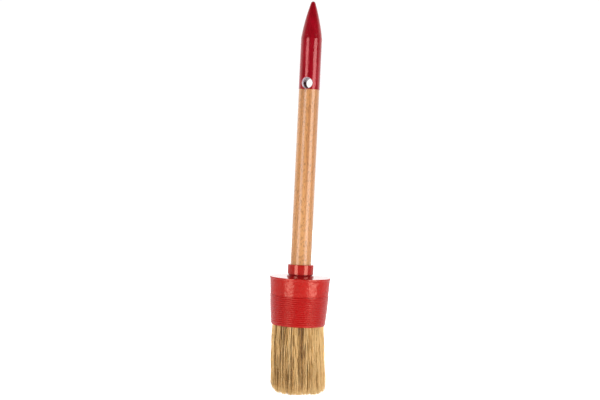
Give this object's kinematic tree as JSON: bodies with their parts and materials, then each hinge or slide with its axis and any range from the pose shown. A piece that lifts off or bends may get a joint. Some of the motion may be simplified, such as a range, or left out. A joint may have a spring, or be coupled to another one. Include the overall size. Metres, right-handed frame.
{
  "type": "round paint brush",
  "caption": "Round natural-bristle paint brush: turned wooden handle with a dipped red point and hanging hole, in a ribbed red plastic cup.",
  "frame": {"origin": "centre of the bristle tips, on the brush's axis", "axes": "+Z along the brush from the bristle tips to the handle's point; Y along the hanging hole"},
  "size_m": [0.052, 0.052, 0.3349],
  "materials": {
    "lacquered_wood": "light hardwood under a thin clear gloss lacquer",
    "dip_paint": "dipped gloss crimson paint",
    "red_plastic": "glossy moulded scarlet plastic",
    "setting_resin": "hard amber resin, hidden",
    "hog_bristle": "blond natural hog bristle"
  },
  "bodies": {
    "root": {"handle": "lacquered_wood", "handle_dip_coat": "dip_paint", "ferrule_cup": "red_plastic", "bristle_setting": "setting_resin", "bristle_tuft": "hog_bristle"}
  },
  "joints": []
}
